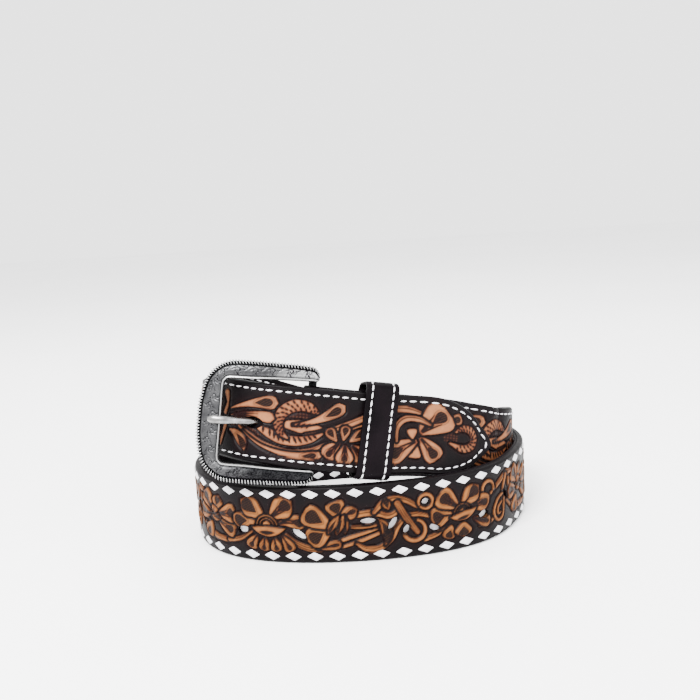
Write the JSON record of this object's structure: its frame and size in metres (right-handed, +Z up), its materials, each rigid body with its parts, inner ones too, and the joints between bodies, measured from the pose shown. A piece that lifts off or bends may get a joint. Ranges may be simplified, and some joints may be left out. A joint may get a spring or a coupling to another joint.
{
  "type": "western belt",
  "caption": "Tooled leather western belt with a pierced floral middle and a C-shaped engraved buckle, fastened and coiled on edge.",
  "frame": {"origin": "middle of the coil's bounding box, at the level of the lower edge it stands on", "axes": "+X from the buckle's left band towards the tip end, +Y from the buckle to the back of the coil, +Z up the strap's width"},
  "size_m": [0.1788, 0.1324, 0.0981],
  "materials": {
    "dark_leather": "near-black brown, satin",
    "carved_leather": "tan tooling over a dark ground, antiqued",
    "white_leather": "matt white",
    "antique_silver": "antique silver plate, engraved",
    "bright_silver": "satin silver plate"
  },
  "bodies": {
    "root": {"lining": "dark_leather", "white_inlay": "white_leather", "buckle_billet": "carved_leather", "middle_face": "carved_leather", "tip_billet": "carved_leather", "keeper": "dark_leather", "buckle_frame": "antique_silver", "prong": "bright_silver", "screw_near_bar": "bright_silver", "screw_past_keeper": "bright_silver"}
  },
  "joints": []
}
